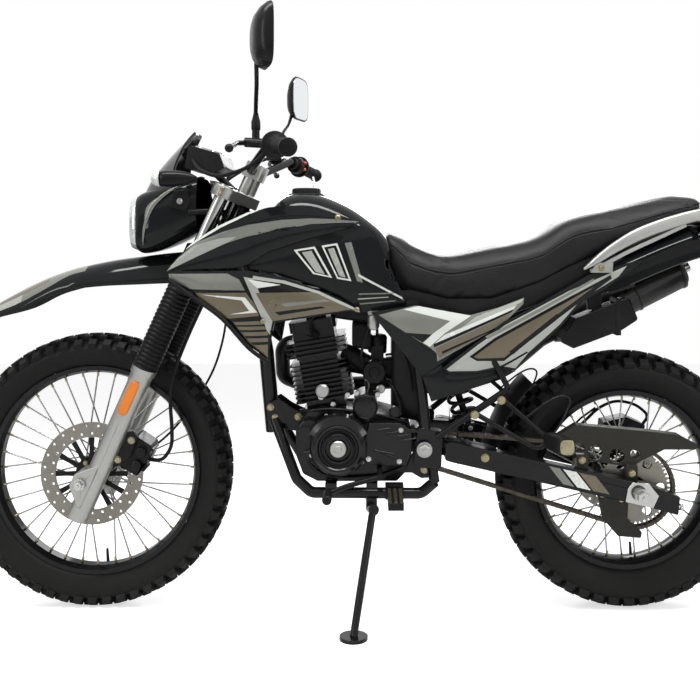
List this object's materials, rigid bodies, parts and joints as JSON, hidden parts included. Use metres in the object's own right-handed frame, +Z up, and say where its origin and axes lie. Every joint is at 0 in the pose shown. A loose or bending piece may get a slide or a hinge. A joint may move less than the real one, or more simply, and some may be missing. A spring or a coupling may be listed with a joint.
{
  "type": "dirt bike",
  "caption": "Off-road motorcycle with wire wheels, telescopic fork, single-cylinder engine, long seat and tank shrouds, leaning on its side stand.",
  "frame": {"origin": "centre of the bottom of the bounding box, on the ground", "axes": "+X to the rear, +Y to the rider's right, +Z up; the bike leans to the left (-Y) on its side stand"},
  "size_m": [2.0668, 0.8672, 1.4682],
  "materials": {
    "gloss_black": "gloss",
    "matte_black": "satin",
    "rubber_black": "matte",
    "tyre_rubber": "matte",
    "alloy": "satin",
    "steel": "brushed",
    "frame_paint": "satin",
    "engine_black": "satin",
    "seat_cover": "matte",
    "clear": "gloss",
    "smoke": "gloss",
    "amber": "gloss",
    "red": "gloss"
  },
  "bodies": {
    "frame": {"main_frame": "frame_paint", "cradle_rails": "frame_paint", "frame_uprights": "frame_paint", "subframe": "frame_paint", "swingarm": "frame_paint", "swingarm_bolts": "steel", "rear_shock": "matte_black", "rear_caliper": "engine_black", "crankcase": "engine_black", "engine_covers": "engine_black", "cylinder": "engine_black", "cylinder_head": "engine_black", "exhaust_header": "engine_black", "muffler": "engine_black", "intake": "matte_black", "fuel_tank": "gloss_black", "fuel_cap": "alloy", "wings": "gloss_black", "shrouds": "gloss_black", "seat": "seat_cover", "side_panels": "gloss_black", "tail": "gloss_black", "rear_lamps": "red", "grab_rail": "alloy", "plate_bracket": "matte_black", "tool_box": "matte_black", "footpegs": "steel", "foot_levers": "steel", "chain": "steel", "chain_guards": "matte_black"},
    "front_end": {"fork_stanchions": "steel", "fork_lowers": "alloy", "fork_gaiters": "rubber_black", "lower_clamp": "alloy", "upper_clamp": "alloy", "handlebar": "frame_paint", "grips": "rubber_black", "bar_controls": "matte_black", "mirrors": "matte_black", "instrument": "matte_black", "headlight_cowl": "gloss_black", "headlight_lens": "clear", "windscreen": "smoke", "front_indicators": "amber", "front_fender": "gloss_black", "front_axle": "steel", "front_caliper": "engine_black", "control_lines": "rubber_black"},
    "front_wheel": {"front_tyre": "tyre_rubber", "front_rim": "engine_black", "front_hub": "alloy", "front_spokes": "steel", "front_disc": "steel"},
    "rear_wheel": {"rear_tyre": "tyre_rubber", "rear_rim": "engine_black", "rear_hub": "alloy", "rear_spokes": "steel", "rear_sprocket": "steel", "rear_disc": "steel"},
    "side_stand": {"side_stand": "frame_paint"}
  },
  "joints": [
    {"name": "steering", "type": "hinge", "parent": "frame", "child": "front_end", "pos_m": [-0.33996, 0.06116, 0.94369], "axis": [0.4093, -0.1506, 0.8999], "range_deg": [-38, 38]},
    {"name": "front_wheel_spin", "type": "hinge", "parent": "front_end", "child": "front_wheel", "pos_m": [-0.6885, 0.16198, 0.34122], "axis": [0, 0.9863, 0.165], "continuous": true},
    {"name": "rear_wheel_spin", "type": "hinge", "parent": "frame", "child": "rear_wheel", "pos_m": [0.6515, 0.16561, 0.31952], "axis": [0, 0.9863, 0.165], "continuous": true},
    {"name": "stand_fold", "type": "hinge", "parent": "frame", "child": "side_stand", "pos_m": [0.0115, 0.07013, 0.25994], "axis": [0.222, -0.975, 0.0106], "range_deg": [0, 103.7]}
  ]
}
